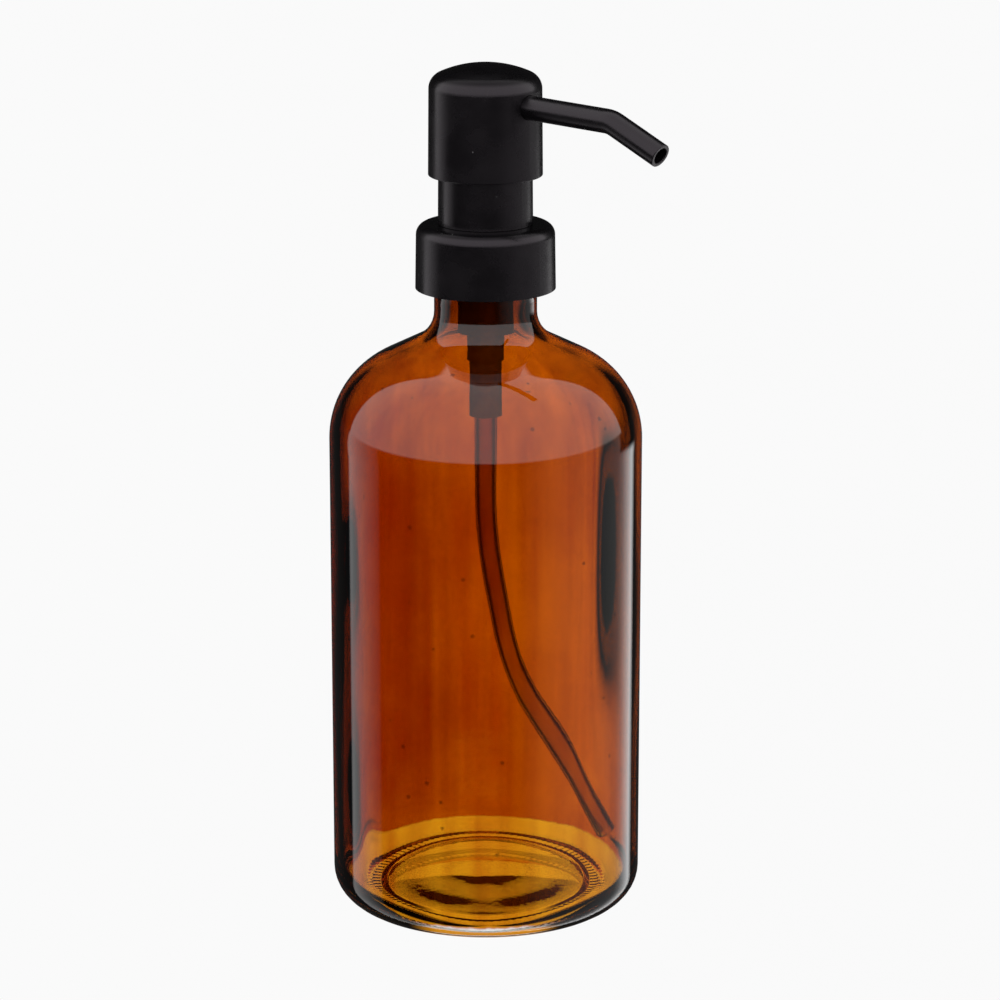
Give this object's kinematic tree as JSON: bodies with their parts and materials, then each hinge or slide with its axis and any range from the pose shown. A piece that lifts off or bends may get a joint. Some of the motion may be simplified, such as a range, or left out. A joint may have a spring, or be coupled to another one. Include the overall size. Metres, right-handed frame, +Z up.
{
  "type": "soap pump dispenser",
  "caption": "Refillable soap dispenser: a round amber glass bottle with a screwed-on black metal piston pump, a push head and a bent spout.",
  "frame": {"origin": "centre of the ring that the bottle stands on, on the bottle's axis", "axes": "+Z up the bottle's axis, +X the way the spout points"},
  "size_m": [0.0906, 0.075, 0.2064],
  "materials": {
    "amber_glass": "clear blown glass with a see-through amber coating outside",
    "black_coated_metal": "satin black powder coat",
    "black_plastic": "moulded black plastic",
    "natural_plastic": "unpigmented moulded plastic",
    "clear_plastic": "translucent extruded tube",
    "seal_rubber": "soft elastomer",
    "spring_steel": "drawn stainless wire",
    "ball_steel": "polished stainless ball"
  },
  "bodies": {
    "bottle": {"bottle": "amber_glass"},
    "pump": {"pump_housing": "natural_plastic", "neck_gasket": "seal_rubber", "housing_cap": "black_plastic", "guide_sleeve": "black_coated_metal", "stem_wiper": "seal_rubber", "dip_tube": "clear_plastic", "ball_cage": "natural_plastic", "return_spring": "spring_steel"},
    "collar": {"collar_shell": "black_coated_metal", "collar_insert": "black_plastic"},
    "piston": {"piston": "natural_plastic"},
    "head": {"head_shell": "black_coated_metal", "actuator_core": "black_plastic", "spout_tube": "black_coated_metal", "spout_seal": "seal_rubber", "stem": "black_plastic", "piston_rod": "natural_plastic"},
    "inlet_ball": {"inlet_ball": "ball_steel"},
    "outlet_ball": {"outlet_ball": "ball_steel"}
  },
  "joints": [
    {"name": "pump_lift", "type": "slide", "parent": "bottle", "child": "pump", "axis": [0, 0, 1], "range_m": [0, 0.0053]},
    {"name": "collar_twist", "type": "hinge", "parent": "pump", "child": "collar", "pos_m": [0, 0, 0.16], "axis": [0, 0, 1], "range_deg": [0, 450]},
    {"name": "head_press", "type": "slide", "parent": "pump", "child": "piston", "axis": [0, 0, -1], "range_m": [0, 0.0105], "stiffness_N_per_m": 900, "springref_m": -0.008, "deforming": ["return_spring"]},
    {"name": "head_swivel", "type": "hinge", "parent": "piston", "child": "head", "pos_m": [0, 0, 0.18], "axis": [0, 0, 1], "continuous": true},
    {"name": "inlet_ball_lift", "type": "slide", "parent": "pump", "child": "inlet_ball", "axis": [0, 0, 1], "range_m": [0, 0.001]},
    {"name": "outlet_ball_lift", "type": "slide", "parent": "head", "child": "outlet_ball", "axis": [0, 0, 1], "range_m": [0, 0.001]}
  ],
  "couplings": [
    {"joint": "pump_lift", "follows": "collar_twist", "m_per_rad": 0.0006737}
  ]
}
